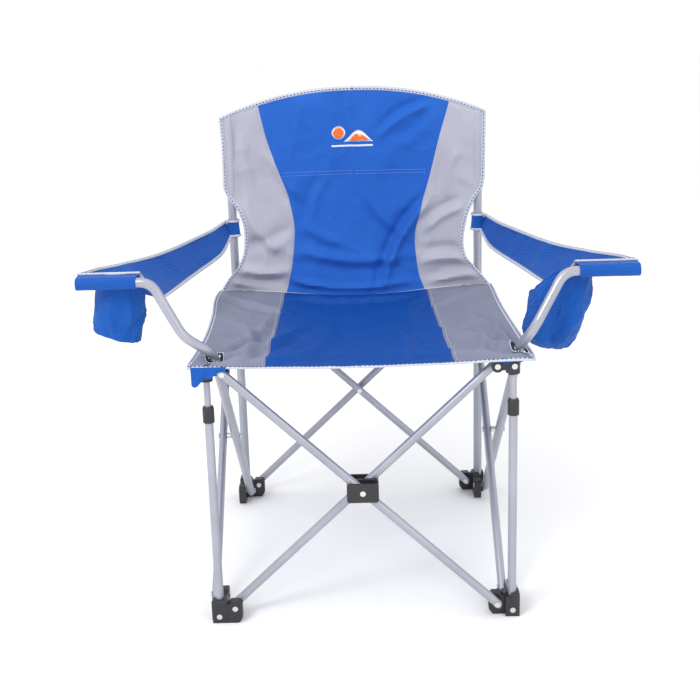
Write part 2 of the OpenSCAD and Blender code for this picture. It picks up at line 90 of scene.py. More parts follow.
def add_camera():
    place = Vector((-0.004, -2.2095, 1.092))
    yaw, pitch, roll = (math.radians(a) for a in (-0.655, 13.944, 1.687))
    ahead = Vector((math.sin(yaw) * math.cos(pitch), math.cos(yaw) * math.cos(pitch), -math.sin(pitch)))
    level = Vector((math.cos(yaw), -math.sin(yaw), 0))
    down = ahead.cross(level)
    right = math.cos(roll) * level + math.sin(roll) * down
    down = math.cos(roll) * down - math.sin(roll) * level
    data = bpy.data.cameras.new("camera")
    data.lens = 58.04
    data.sensor_width = 36
    data.shift_x = 0.010
    data.shift_y = -0.0717
    camera = bpy.data.objects.new("camera", data)
    turn = Matrix((right, -down, -ahead)).transposed().to_4x4()
    camera.matrix_world = Matrix.Translation(place) @ turn
    bpy.context.scene.collection.objects.link(camera)
    bpy.context.scene.camera = camera


add_camera()

# ---- small helpers ----------------------------------------------------------------------


def smooth(t):
    t = min(max(t, 0.0), 1.0)
    return t * t * (3 - 2 * t)


def mix(a, b, t):
    return a + (b - a) * t


def through(points, t):
    """Value at t on a smooth curve through (t, value) points, without overshoot."""
    if t <= points[0][0]:
        return points[0][1]
    if t >= points[-1][0]:
        return points[-1][1]
    k = next(i for i in range(len(points) - 1) if points[i + 1][0] >= t)

    def slope(i):
        return (points[i + 1][1] - points[i][1]) / (points[i + 1][0] - points[i][0])

    def tangent(i):
        if i == 0:
            return slope(0)
        if i == len(points) - 1:
            return slope(i - 1)
        before, after = slope(i - 1), slope(i)
        return 0.0 if before * after <= 0 else 2 * before * after / (before + after)

    width = points[k + 1][0] - points[k][0]
    u = (t - points[k][0]) / width
    return (points[k][1] * (1 + 2 * u) * (1 - u) ** 2 + points[k + 1][1] * u * u * (3 - 2 * u)
            + width * (tangent(k) * u * (1 - u) ** 2 + tangent(k + 1) * u * u * (u - 1)))


def bell(d, width):
    return math.exp(-((d / width) ** 2))


def ripple(p, q, seed):
    return noise.noise(Vector((p, q, seed)))


def mesh_object(name, points, faces, material):
    mesh = bpy.data.meshes.new(name)
    mesh.from_pydata([tuple(p) for p in points], [], faces)
    mesh.materials.append(material)
    mesh.validate()
    mesh.polygons.foreach_set("use_smooth", [True] * len(mesh.polygons))
    mesh.update()
    obj = bpy.data.objects.new(name, mesh)
    bpy.context.scene.collection.objects.link(obj)
    return obj


def grid_faces(rows, cols, wrap=False, flip=False, keep=None):
    faces = []
    for i in range(rows - 1):
        for j in range(cols if wrap else cols - 1):
            n = (j + 1) % cols
            face = (i * cols + j, i * cols + n, (i + 1) * cols + n, (i + 1) * cols + j)
            if keep is None or keep(face):
                faces.append(face[::-1] if flip else face)
    return faces


def thicken(obj, thickness=CLOTH):
    """Gives a sheet its thickness, away from the side its faces look to, and keeps the result."""
    modifier = obj.modifiers.new("thickness", "SOLIDIFY")
    modifier.thickness = thickness
    modifier.offset = -1
    graph = bpy.context.evaluated_depsgraph_get()
    mesh = bpy.data.meshes.new_from_object(obj.evaluated_get(graph))
    obj.modifiers.clear()
    obj.data = mesh
    mesh.name = obj.name
    mesh.polygons.foreach_set("use_smooth", [True] * len(mesh.polygons))
    mesh.set_sharp_from_angle(angle=SHARP_ANGLE)


def sweep(name, path, acrosses, material, wide, thick, inset=0.0, closed=False, steps=8):
    """Tape of elliptical section along path; acrosses are unit vectors in its plane, pointing inwards."""
    points = []
    count = len(path)
    for i, (p, across) in enumerate(zip(path, acrosses)):
        before = path[(i - 1) % count] if closed else path[max(i - 1, 0)]
        after = path[(i + 1) % count] if closed else path[min(i + 1, count - 1)]
        up = (after - before).normalized().cross(across).normalized()
        for k in range(steps):
            a = 2 * math.pi * k / steps
            points.append(p + across * (inset + wide * math.cos(a)) + up * thick * math.sin(a))
    faces = grid_faces(count, steps, wrap=True)
    if closed:
        last = (count - 1) * steps
        faces += [(last + k, last + (k + 1) % steps, (k + 1) % steps, k) for k in range(steps)]
    else:
        faces.append(tuple(range(steps)))
        faces.append(tuple((count - 1) * steps + k for k in reversed(range(steps))))
    return mesh_object(name, points, faces, material)


def threads(name, spans, material, radius=0.0006):
    """One mesh of short round stitches, each from a to b and a little proud along up."""
    points, faces = [], []
    sides = 5
    for a, b, up in spans:
        along = b - a
        if along.length < 1e-6:
            continue
        side = along.cross(up).normalized()
        lift = side.cross(along).normalized()
        first = len(points)
        for share, size, rise in ((0.0, 0.35, -0.4), (0.22, 1.0, 0.3), (0.78, 1.0, 0.3), (1.0, 0.35, -0.4)):
            centre = a + along * share + lift * radius * rise
            for k in range(sides):
                turn = 2 * math.pi * k / sides
                points.append(centre + radius * size * (math.cos(turn) * side + math.sin(turn) * lift))
        for ring in range(3):
            for k in range(sides):
                low, high = first + ring * sides, first + (ring + 1) * sides
                faces.append((low + k, low + (k + 1) % sides, high + (k + 1) % sides, high + k))
        faces.append(tuple(first + k for k in reversed(range(sides))))
        faces.append(tuple(first + 3 * sides + k for k in range(sides)))
    return mesh_object(name, points, faces, material)


# Length of a stitch and the gap after it
OVERLOCK = (0.0042, 0.0036)
TOPSTITCH = (0.0032, 0.0014)


def stitch_line(path, ups, length, gap, shift=None):
    """Spans of a running stitch along a path of close points."""
    track = [p + s for p, s in zip(path, shift)] if shift else list(path)
    reach = [0.0]
    for here, beyond in zip(track, track[1:]):
        reach.append(reach[-1] + (beyond - here).length)
    spans, i = [], 0
    for n in range(int(reach[-1] / (length + gap))):
        ends = []
        for way in (n * (length + gap), n * (length + gap) + length):
            while reach[i + 1] < way:
                i += 1
            ends.append(track[i].lerp(track[i + 1], (way - reach[i]) / max(reach[i + 1] - reach[i], 1e-9)))
        spans.append((ends[0], ends[1], ups[i]))
    return spans


# ---- materials ---------------------------------------------------------------------------


class Nodes:
    """Short calls for one material's node tree."""

    def __init__(self, name):
        self.material = bpy.data.materials.new(name)
        self.material.use_nodes = True
        self.tree = self.material.node_tree
        self.shader = self.tree.nodes["Principled BSDF"]
        self.place = self.add("ShaderNodeTexCoord").outputs["Object"]

    def add(self, kind, **settings):
        node = self.tree.nodes.new(kind)
        for key, value in settings.items():
            setattr(node, key, value)
        return node

    def link(self, source, target):
        self.tree.links.new(source, target)

    def sum(self, operation, a, b):
        node = self.add("ShaderNodeMath", operation=operation)
        for socket, value in zip(node.inputs, (a, b)):
            if isinstance(value, (int, float)):
                socket.default_value = value
            elif value is not None:
                self.link(value, socket)
        return node.outputs[0]

    def noise(self, scale, detail=3.0):
        node = self.add("ShaderNodeTexNoise")
        node.inputs["Scale"].default_value = scale
        node.inputs["Detail"].default_value = detail
        self.link(self.place, node.inputs["Vector"])
        return node.outputs["Fac"]

    def colours(self, factor, dark, light, low=0.0, high=1.0):
        ramp = self.add("ShaderNodeValToRGB")
        ramp.color_ramp.elements[0].position = low
        ramp.color_ramp.elements[1].position = high
        ramp.color_ramp.elements[0].color = (*dark, 1)
        ramp.color_ramp.elements[1].color = (*light, 1)
        self.link(factor, ramp.inputs[0])
        return ramp.outputs[0]

    def bump(self, height, distance, strength=1.0):
        node = self.add("ShaderNodeBump")
        node.inputs["Strength"].default_value = strength
        node.inputs["Distance"].default_value = distance
        self.link(height, node.inputs["Height"])
        self.link(node.outputs[0], self.shader.inputs["Normal"])

    def set(self, **values):
        for name, value in values.items():
            self.shader.inputs[name.replace("_", " ")].default_value = value


def powder_coat():
    m = Nodes("silver_powder_coat")
    grain = m.noise(1400, 2)
    cloudy = m.colours(m.noise(9), (0.33, 0.34, 0.40), (0.40, 0.41, 0.47), 0.3, 0.7)
    m.link(cloudy, m.shader.inputs["Base Color"])
    m.link(m.colours(grain, (0.30,) * 3, (0.40,) * 3), m.shader.inputs["Roughness"])
    m.set(Metallic=0.55, Coat_Weight=0.15, Coat_Roughness=0.25)
    m.bump(grain, 0.00008, 0.5)
    return m.material


def moulded_plastic():
    m = Nodes("black_moulded_plastic")
    grain = m.noise(900, 4)
    cloudy = m.colours(m.noise(30), (0.012, 0.012, 0.015), (0.026, 0.026, 0.031))
    m.link(cloudy, m.shader.inputs["Base Color"])
    m.link(m.colours(grain, (0.36,) * 3, (0.50,) * 3), m.shader.inputs["Roughness"])
    m.bump(grain, 0.0001, 0.4)
    return m.material


def zinc():
    m = Nodes("zinc_rivet")
    grain = m.noise(700, 3)
    m.link(m.colours(grain, (0.55, 0.56, 0.58), (0.74, 0.75, 0.77)), m.shader.inputs["Base Color"])
    m.link(m.colours(grain, (0.22,) * 3, (0.36,) * 3), m.shader.inputs["Roughness"])
    m.set(Metallic=1.0)
    return m.material


def fabric(name, dark, light, axes, cell=0.0056, weave=0.0011, emboss=0.00035, roughness=0.68, sheen=0.06,
           mottle=0.12):
    """Polyester cloth with a small embossed diamond, drawn in the plane of the two named axes."""
    m = Nodes(name)
    split = m.add("ShaderNodeSeparateXYZ")
    m.link(m.place, split.inputs[0])
    p, q = (split.outputs[a] for a in axes)

    def wave(value, pitch):
        return m.sum("SINE", m.sum("MULTIPLY", value, 2 * math.pi / pitch), None)

    diagonal_a = m.sum("ADD", p, m.sum("MULTIPLY", q, 0.72))
    diagonal_b = m.sum("SUBTRACT", p, m.sum("MULTIPLY", q, 0.72))
    crossing = m.sum("MULTIPLY", wave(diagonal_a, cell * 2), wave(diagonal_b, cell * 2))
    diamond = m.sum("ABSOLUTE", crossing, None)
    yarn = m.sum("MULTIPLY", wave(p, weave), wave(q, weave))
    tone = m.sum("ADD", m.sum("MULTIPLY", diamond, 0.62), m.sum("MULTIPLY", yarn, 0.10))
    cloudy = m.sum("MULTIPLY", m.sum("SUBTRACT", m.noise(7, 4), 0.5), mottle * 4)
    colour = m.colours(m.sum("ADD", tone, m.sum("ADD", cloudy, 0.18)), dark, light)
    m.link(colour, m.shader.inputs["Base Color"])
    m.link(m.colours(diamond, (roughness + 0.08,) * 3, (roughness - 0.08,) * 3), m.shader.inputs["Roughness"])
    m.set(Sheen_Weight=sheen, Sheen_Roughness=0.45, Specular_IOR_Level=0.22)
    m.bump(m.sum("ADD", diamond, m.sum("MULTIPLY", yarn, 0.25)), emboss, 0.9)
    return m.material


def tape(name, dark, light):
    """Ribbed binding tape."""
    m = Nodes(name)
    rib = m.noise(950, 2)
    m.link(m.colours(rib, dark, light, 0.3, 0.7), m.shader.inputs["Base Color"])
    m.set(Roughness=0.75, Specular_IOR_Level=0.25)
    m.bump(rib, 0.0003, 0.6)
    return m.material


def floor_paper():
    m = Nodes("studio_paper")
    m.link(m.colours(m.noise(3), (0.93, 0.93, 0.93), (0.95, 0.95, 0.95)), m.shader.inputs["Base Color"])
    m.set(Roughness=0.9)
    return m.material


X, Y, Z = 0, 1, 2
STEEL = powder_coat()
PLASTIC = moulded_plastic()
RIVET = zinc()
BLUE_BACK = fabric("blue_honeycomb_cloth", (0.002, 0.070, 0.40), (0.034, 0.185, 0.70), (X, Z), emboss=0.0006)
GREY_BACK = fabric("grey_honeycomb_cloth", (0.34, 0.34, 0.41), (0.59, 0.59, 0.68), (X, Z), emboss=0.0006)
# The seat's cloths are coloured much darker than the back's: painted shade on a surface that faces up, away
# from the front light.
BLUE_SEAT_PAINTED_SHADE = fabric("blue_seat_cloth_painted_shade", (0.0, 0.046, 0.25), (0.001, 0.072, 0.36), (X, Y), cell=0.003,
                   emboss=0.00012, roughness=0.6, sheen=0.0, mottle=0.10)
GREY_SEAT_PAINTED_SHADE = fabric("grey_seat_cloth_painted_shade", (0.175, 0.185, 0.255), (0.24, 0.255, 0.35), (X, Y), cell=0.003,
                   emboss=0.00012, roughness=0.6, sheen=0.0, mottle=0.08)
# The armrest cloth is coloured darker than the hung cloth: painted shade on its upward face, away from the
# front light.
BLUE_ARM_PAINTED_SHADE = fabric("blue_armrest_cloth_painted_shade", (0.0, 0.045, 0.27), (0.010, 0.125, 0.52), (X, Y),
                  cell=0.0050, emboss=0.0006)
BLUE_HUNG = fabric("blue_hung_cloth", (0.0, 0.050, 0.30), (0.012, 0.140, 0.56), (X, Z),
                   cell=0.0050, emboss=0.0006)
PALE = tape("pale_binding_tape", (0.38, 0.41, 0.48), (0.62, 0.65, 0.72))
DARK_TAPE = tape("dark_slit_tape", (0.010, 0.010, 0.014), (0.03, 0.03, 0.04))
STITCH = tape("navy_overlock_thread", (0.008, 0.03, 0.15), (0.02, 0.06, 0.26))
BLUE_STITCH = tape("light_blue_thread", (0.10, 0.22, 0.62), (0.18, 0.33, 0.80))
GREY_STITCH = tape("grey_thread", (0.45, 0.45, 0.52), (0.66, 0.66, 0.74))
ORANGE_STITCH = tape("orange_thread", (0.75, 0.13, 0.02), (0.95, 0.25, 0.05))
WHITE_STITCH = tape("white_thread", (0.70, 0.74, 0.85), (0.88, 0.90, 0.96))

# The carried-over frame parts, by the words in their names
for node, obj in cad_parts.items():
    if "rivet" in node or "bolt" in node:
        finish = RIVET
    elif any(word in node for word in ("foot", "collar", "bracket", "slider", "hub", "plug")):
        finish = PLASTIC
    else:
        finish = STEEL
    for holder in obj.material_slots:
        holder.material = finish

# ---- the sling: one surface over the seat and up the back ----------------------------------

# Half width of the back against height, then of its middle panel, on each side
BACK_EDGE = {
    -1: ((0.500, 0.309), (0.532, 0.288), (0.559, 0.264), (0.599, 0.249), (0.631, 0.247), (0.677, 0.258),
         (0.706, 0.276), (0.739, 0.289), (0.823, 0.288), (0.892, 0.291)),
    1: ((0.500, 0.302), (0.515, 0.291), (0.548, 0.263), (0.572, 0.244), (0.599, 0.239), (0.649, 0.247),
        (0.697, 0.267), (0.723, 0.283), (0.753, 0.287), (0.897, 0.289)),
}
BACK_PANEL = {
    -1: ((0.487, 0.163), (0.520, 0.153), (0.584, 0.141), (0.639, 0.137), (0.702, 0.147), (0.764, 0.167),
         (0.845, 0.192), (0.912, 0.205), (0.948, 0.211)),
    1: ((0.487, 0.157), (0.540, 0.139), (0.608, 0.133), (0.667, 0.145), (0.755, 0.170), (0.838, 0.190),
        (0.915, 0.210), (0.948, 0.216)),
}
# Half width of the seat against its way from rear, 0, to front, 1, then of its middle panel
SEAT_EDGE = {
    -1: ((0.0, 0.309), (0.10, 0.311), (0.42, 0.299), (0.67, 0.295), (0.93, 0.301), (1.0, 0.305)),
    1: ((0.0, 0.302), (0.10, 0.301), (0.30, 0.299), (0.85, 0.306), (1.0, 0.309)),
}
SEAT_PANEL = {-1: ((0.0, 0.163), (1.0, 0.169)), 1: ((0.0, 0.157), (1.0, 0.169))}
EDGE_Y = ((0.50, 0.262), (0.53, 0.263), (0.60, 0.270), (0.68, 0.2755), (0.722, 0.2765), (0.90, 0.2765))
BACK_DEPTH = ((0.487, 0.009), (0.53, 0.020), (0.62, 0.029), (0.75, 0.035), (0.948, 0.033))
SEAT_SAG = ((0.0, 0.021), (0.3, 0.026), (0.7, 0.021), (1.0, 0.012))
# How far the back's top edge falls by its corners, the shape of that curve, and where the corners are
TOP_DROP, TOP_POWER = 0.057, 2.2
TOP_REACH = 0.290
SEAM_REACH = 0.17  # rough half width of a middle panel
BACK_ROWS, SEAT_ROWS = 90, 104
PANEL_COLS = {"centre": 38, "side": 26}

CREASE_DEPTH = 2.5  # scales every depth in the two tables
# Creases as (from, to, depth, width), in the plane of the back (x, z) and of the seat (x, y)
BACK_CREASES = (
    ((0.160, 0.690), (0.060, 0.505), 0.0060, 0.010),
    ((0.165, 0.905), (0.062, 0.842), 0.0036, 0.009),
    ((0.100, 0.835), (0.168, 0.905), -0.0022, 0.012),
    ((-0.010, 0.935), (0.020, 0.800), 0.0018, 0.010),
    ((-0.120, 0.585), (0.125, 0.575), 0.0030, 0.012),
    ((-0.150, 0.525), (0.110, 0.512), 0.0042, 0.009),
    ((-0.110, 0.640), (-0.020, 0.600), 0.0024, 0.011),
    ((-0.185, 0.800), (-0.110, 0.700), 0.0020, 0.012),
    ((-0.250, 0.690), (-0.170, 0.590), 0.0045, 0.012),
    ((-0.270, 0.560), (-0.150, 0.545), 0.0050, 0.012),
    ((-0.240, 0.610), (-0.150, 0.640), -0.0026, 0.012),
    ((0.235, 0.680), (0.155, 0.628), 0.0045, 0.010),
    ((0.255, 0.565), (0.150, 0.560), 0.0048, 0.011),
    ((0.225, 0.800), (0.205, 0.700), 0.0022, 0.010),
    ((-0.245, 0.860), (-0.215, 0.720), 0.0020, 0.010),
    ((0.030, 0.700), (0.115, 0.615), 0.0020, 0.010),
    ((-0.060, 0.750), (-0.100, 0.650), 0.0018, 0.010),
    ((0.275, 0.530), (0.165, 0.510), 0.0040, 0.010),
    ((-0.280, 0.530), (-0.180, 0.505), 0.0040, 0.010),
)
SEAT_CREASES = (
    ((-0.285, -0.285), (-0.120, -0.020), 0.0040, 0.011),
    ((-0.280, -0.260), (-0.180, 0.090), 0.0035, 0.010),
    ((-0.270, -0.295), (-0.060, -0.190), 0.0035, 0.010),
    ((0.285, -0.285), (0.120, -0.020), 0.0040, 0.011),
    ((0.280, -0.260), (0.195, 0.080), 0.0035, 0.010),
    ((0.270, -0.295), (0.060, -0.200), 0.0035, 0.010),
    ((-0.300, 0.225), (-0.150, 0.120), 0.0036, 0.011),
    ((0.295, 0.225), (0.150, 0.110), 0.0036, 0.011),
    ((-0.130, 0.235), (0.120, 0.240), 0.0030, 0.010),
    ((-0.100, -0.240), (-0.060, 0.050), 0.0014, 0.012),
    ((0.080, -0.260), (0.050, 0.040), 0.0014, 0.012),
    ((0.215, -0.270), (0.225, -0.020), 0.0022, 0.010),
    ((-0.215, -0.270), (-0.225, -0.020), 0.0022, 0.010),
)


def crease_relief(creases, p, q):
    """Sum of the folds at a point: each is a ridge with a softer trough beside it, and fades at its ends."""
    total = 0.0
    for start, end, depth, width in creases:
        dx, dy = end[0] - start[0], end[1] - start[1]
        length = math.hypot(dx, dy)
        t = ((p - start[0]) * dx + (q - start[1]) * dy) / length ** 2
        if not -0.25 < t < 1.25:
            continue
        bow = 0.07 * length * math.sin(math.pi * min(max(t, 0), 1))
        d = ((p - start[0]) * dy - (q - start[1]) * dx) / length - bow
        if abs(d) > 6 * width:
            continue
        fade = smooth((t + 0.2) / 0.4) * smooth((1.2 - t) / 0.5)
        total += fade * depth * (1.1 * bell(d, width) - 0.75 * bell(d - 1.7 * width, width * 1.15))
    return total * CREASE_DEPTH


def crumple(p, q, seed):
    """Thin wandering ridges where a smooth noise crosses zero, in two sizes."""
    wide = max(1 - 3.2 * abs(ripple(p * 9, q * 7, seed)), 0) ** 2
    fine = max(1 - 3.0 * abs(ripple(p * 21 + q * 9, q * 17 - p * 7, seed + 5)), 0) ** 2
    return 0.0034 * wide + 0.0020 * fine


def back_top_z(x):
    return BACK_TOP - TOP_DROP * (abs(x) / TOP_REACH) ** TOP_POWER


def back_seam_z(x):
    return SEAM_Z + (SEAT_Z - 0.002 - SEAM_Z) * smooth(abs(x) / 0.30)


def back_column(x, v):
    return mix(back_seam_z(x), back_top_z(x), v)


def back_xz(sx, k, v):
    """k is 0 at the middle, 1 at the panel seam and 2 at the edge; v is 0 at the seat and 1 at the top."""
    seam_x = through(BACK_PANEL[sx], back_column(SEAM_REACH, v))
    edge_x = through(BACK_EDGE[sx], back_column(TOP_REACH, v))
    x = seam_x * k if k <= 1 else mix(seam_x, edge_x, k - 1)
    return x, back_column(x, v), edge_x, seam_x


def back_point(sx, k, v):
    x, z, edge_x, seam_x = back_xz(sx, k, v)
    s = x / edge_x
    y = through(EDGE_Y, z) + through(BACK_DEPTH, z) * (1 - s ** 2.2)
    rim = smooth((1 - s) / 0.10) * smooth(v / 0.05) * smooth((1 - v) / 0.05)
    relief = crease_relief(BACK_CREASES, sx * x, z)
    relief += 0.0016 * ripple(sx * x * 11, z * 9, 3.1) + 0.0008 * ripple(sx * x * 30, z * 22, 8.7)
    relief += 0.0022 * (1 - smooth((z - 0.49) / 0.16)) * ripple(sx * x * 12, z * 60, 1.3)
    relief += crumple(sx * x, z, 2.4)
    seam = -0.0016 * bell((x - seam_x), 0.004) + 0.0010 * bell(x - seam_x - 0.007, 0.004)
    return Vector((sx * x, y - rim * (relief + seam), z))


def seat_point(sx, k, w):
    """w is 0 at the back seam and 1 at the front edge."""
    seam_x, edge_x = through(SEAT_PANEL[sx], w), through(SEAT_EDGE[sx], w)
    x = seam_x * k if k <= 1 else mix(seam_x, edge_x, k - 1)
    s = x / edge_x
    rear_y = through(EDGE_Y, 0.5) + through(BACK_DEPTH, SEAM_Z) * (1 - s ** 2.2)
    y = mix(rear_y, SEAT_FRONT_Y + 0.004 * (1 - s * s), w)
    sag = through(SEAT_SAG, w) * (1 - s * s) ** 0.9 if s < 1 else 0.0
    z = mix(back_seam_z(x), SEAT_Z, smooth(w / 0.12)) - sag * smooth(w / 0.12)
    z -= 0.006 * smooth((w - 0.975) / 0.025) * s ** 6
    rim = smooth((1 - s) / 0.08) * smooth(w / 0.05) * smooth((1 - w) / 0.04)
    relief = crease_relief(SEAT_CREASES, sx * x, y)
    relief += 0.0015 * ripple(sx * x * 10, y * 8, 5.5) + 0.0007 * ripple(sx * x * 26, y * 20, 2.2)
    relief += 0.0016 * smooth((w - 0.78) / 0.2) * ripple(sx * x * 45, y * 10, 4.4)
    relief += 0.8 * crumple(sx * x, y, 9.1)
    seam = -0.0014 * bell(x - seam_x, 0.004) + 0.0009 * bell(x - seam_x - 0.007, 0.004)
    return Vector((sx * x, y, z + rim * (relief + seam)))


SURFACES = {"back": (back_point, BACK_ROWS), "seat": (seat_point, SEAT_ROWS)}
FRONT_FACING = {"back": Vector((0, -1, 0)), "seat": Vector((0, 0, 1))}
PANEL_LOOK = {("back", "centre"): (BLUE_BACK, "blue_cloth"), ("back", "side"): (GREY_BACK, "grey_cloth"),
              ("seat", "centre"): (BLUE_SEAT_PAINTED_SHADE, "blue_cloth"), ("seat", "side"): (GREY_SEAT_PAINTED_SHADE, "grey_cloth")}


def fold_up(obj, part, sx):
    """Hangs a back half on the rear body of its side and a seat half on the seat body, each with a mesh of
    its own.
    """
    side = SIDES[sx]
    if part == "back":
        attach(obj, f"rear_{side}")
        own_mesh(obj)
    else:
        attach(obj, f"seat_{side}")
        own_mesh(obj)


# The slit in each side panel that the arm tube passes through: its half sizes, and its x on each side
SLIT_HALF = (0.011, 0.021)
SLIT_X = {-1: -0.2607, 1: 0.2873}
# The arm tube in side view: its pin in the rear foot, and its rise for each step forward
ARM_PIN_Y, ARM_PIN_Z = 0.244, 0.029
ARM_RISE = 460 / 488
# Rough sizes that steer the two searches for a point on the cloth
SEAT_LENGTH, SIDE_WIDTH, BACK_HEIGHT = 0.575, 0.14, 0.46


def slit_centre(sx):
    return Vector((SLIT_X[sx], ARM_PIN_Y - (SEAT_Z - ARM_PIN_Z) / ARM_RISE, SEAT_Z))


def slit_outline(sx, steps=36, grow=0.0):
    """Closed rounded-rectangle path of the slit, on the seat."""
    centre = slit_centre(sx)
    path = []
    for i in range(steps):
        a = 2 * math.pi * i / steps
        c, s = math.cos(a), math.sin(a)
        size = 1 / (abs(c) ** 4 + abs(s) ** 4) ** 0.25
        path.append(Vector((centre.x + (SLIT_HALF[0] + grow) * c * size,
                            centre.y + (SLIT_HALF[1] + grow) * s * size, 0)))
    return path


def inside_slit(p, centre, grow=0.0):
    u = abs(p.x - centre.x) / (SLIT_HALF[0] + grow)
    v = abs(p.y - centre.y) / (SLIT_HALF[1] + grow)
    return (u ** 4 + v ** 4) ** 0.25


def seat_height(sx, x, y):
    """Height of the seat's top at a place near its side panel."""
    w = 0.5
    k = 1.5
    for _ in range(12):
        p = seat_point(sx, k, w)
        w += (p.y - y) / SEAT_LENGTH
        k += (abs(x) - abs(p.x)) / SIDE_WIDTH
        w = min(max(w, 0.0), 1.0)
        k = min(max(k, 1.0), 2.0)
    return seat_point(sx, k, w).z


def sling_panel(part, panel, sx):
    point, rows = SURFACES[part]
    cols = PANEL_COLS[panel]
    first = 0 if panel == "centre" else 1
    points = [point(sx, first + j / (cols - 1), i / (rows - 1)) for i in range(rows) for j in range(cols)]
    keep = None
    if part == "seat" and panel == "side":
        centre = slit_centre(sx)
        for i, p in enumerate(points):
            size = inside_slit(p, centre)
            if 0.72 < size < 1.0:
                points[i] = Vector((centre.x + (p.x - centre.x) / size,
                                    centre.y + (p.y - centre.y) / size, p.z))

        def keep(face):
            spot = sum((points[n] for n in face), Vector()) / 4
            return inside_slit(spot, centre) > 0.97

    flip = (sx < 0) != (part == "seat")
    faces = grid_faces(rows, cols, flip=flip, keep=keep)
    used = sorted({n for face in faces for n in face})
    order = {n: i for i, n in enumerate(used)}
    look, slot = PANEL_LOOK[part, panel]
    obj = mesh_object(f"cloth_{part}_{panel}_{SIDES[sx]}", [points[n] for n in used],
                      [tuple(order[n] for n in face) for face in faces], look)
    thicken(obj)
    fold_up(obj, part, sx)
    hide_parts(f"{part}_{panel}_{SIDES[sx]}")
    return obj


def border(part, sx):
    """Points along the outer edge of one half, with the inward direction and the facing at each."""
    point, rows = SURFACES[part]
    across = [(2 * j / 60, 1.0) for j in range(61)]
    along = [(2.0, 1 - i / (rows * 2)) for i in range(1, rows * 2 + 1)]
    path, inward, ups = [], [], []
    for k, v in across + along:
        p = point(sx, k, v)
        direction = Vector()
        if k > 1.95:
            direction += (point(sx, k - 0.04, v) - p).normalized()
        if v > 0.985:
            direction += (point(sx, k, v - 0.02) - p).normalized()
        path.append(p)
        inward.append(direction.normalized())
        ups.append(FRONT_FACING[part])
    return path, inward, ups


def sling_binding(part, sx):
    path, inward, ups = border(part, sx)
    side = SIDES[sx]
    edge = sweep(f"binding_{part}_{side}", path, inward, PALE, 0.0046, 0.0018, inset=0.0030)
    shift = [a * 0.0034 + u * 0.0017 for a, u in zip(inward, ups)]
    dots = threads(f"overlock_{part}_{side}", stitch_line(path, ups, *OVERLOCK, shift), STITCH, 0.0011)
    for obj in (edge, dots):
        fold_up(obj, part, sx)


def panel_stitches(part, sx):
    """Topstitch beside the seam between the middle and the side panel."""
    point, rows = SURFACES[part]
    up = FRONT_FACING[part]
    path = [point(sx, 1.04, 0.02 + 0.96 * i / (rows * 2)) + up * 0.0003 for i in range(rows * 2 + 1)]
    obj = threads(f"topstitch_{part}_{SIDES[sx]}", stitch_line(path, [up] * len(path), *TOPSTITCH),
                  GREY_STITCH, 0.00045)
    fold_up(obj, part, sx)


def on_back(sx, x, z):
    """Point of the back's front face at x (0 or more, on side sx) and z."""
    k, v = x / SEAM_REACH, (z - SEAM_Z) / (BACK_TOP - SEAM_Z)
    for _ in range(14):
        p = back_point(sx, k, v)
        k = min(max(k + (x - abs(p.x)) / SEAM_REACH, 0.0), 2.0)
        v = min(max(v + (z - p.z) / BACK_HEIGHT, 0.0), 1.0)
    return back_point(sx, k, v)


CROSS_SEAM_ROWS = (0.7565, 0.7635)  # heights of its two lines
CROSS_SEAM_REACH = 0.166  # half its length


def cross_seam(sx):
    """Double line of stitches across the back's middle panel."""
    up = FRONT_FACING["back"]
    spans = []
    for z in CROSS_SEAM_ROWS:
        path = [on_back(sx, i * 0.0035, z) + up * 0.0004 for i in range(1, 48)]
        path = [p for p in path if abs(p.x) < CROSS_SEAM_REACH]
        spans += stitch_line(path, [up] * len(path), 0.0036, 0.0012)
    obj = threads("cross_seam_" + SIDES[sx], spans, BLUE_STITCH, 0.0007)
    fold_up(obj, "back", sx)


def slit_binding(sx):
    path = slit_outline(sx, grow=0.001)
    centre = slit_centre(sx)
    for p in path:
        p.z = seat_height(sx, p.x, p.y) + 0.0006
    inward = [(p - centre - Vector((0, 0, (p - centre).z))).normalized() for p in path]
    side = SIDES[sx]
    ring = sweep("slit_tape_" + side, path, inward, DARK_TAPE, 0.0036, 0.0016, inset=0.001, closed=True)
    loop = path + path[:1]
    outs = inward + inward[:1]
    shift = [o * 0.0042 + Vector((0, 0, 0.0012)) for o in outs]
    up = FRONT_FACING["seat"]
    dots = threads("slit_stitch_" + side, stitch_line(loop, [up] * len(loop), 0.003, 0.002, shift),
                   WHITE_STITCH, 0.0009)
    for obj in (ring, dots):
        fold_up(obj, "seat", sx)


SLEEVE_LOW = 0.722  # height of the sleeve's lower end


def sleeve(sx):
    """Cloth sleeve round the top of a back post, closed at its top."""
    rings, steps = 46, 28
    low, high = SLEEVE_LOW, POST_TOP + 0.003
    points = []
    for i in range(rings):
        t = i / (rings - 1)
        z = mix(low, high, t)
        for k in range(steps):
            a = 2 * math.pi * k / steps
            radius = POST_R + 0.0022 + 0.0006 * ripple(3 * math.cos(a), 3 * math.sin(a) + z * 40, 6.1)
            radius *= 1 - 0.25 * smooth((t - 0.975) / 0.025)
            points.append(Vector((sx * POST.x + radius * math.cos(a), POST.y + radius * math.sin(a), z)))
    faces = grid_faces(rings, steps, wrap=True)
    top = len(points)
    points.append(Vector((sx * POST.x, POST.y, high + 0.001)))
    faces += [((rings - 1) * steps + k, (rings - 1) * steps + (k + 1) % steps, top) for k in range(steps)]
    obj = mesh_object("cloth_sleeve_" + SIDES[sx], points, faces, GREY_BACK)
    thicken(obj)
    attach(obj, "rear_" + SIDES[sx])
    up = FRONT_FACING["back"]
    path = [on_back(sx, POST.x - 0.014, mix(low, high - 0.012, i / 60)) + up * 0.0004 for i in range(61)]
    line = threads("sleeve_stitch_" + SIDES[sx], stitch_line(path, [up] * len(path), *TOPSTITCH),
                   GREY_STITCH, 0.0005)
    fold_up(line, "back", sx)


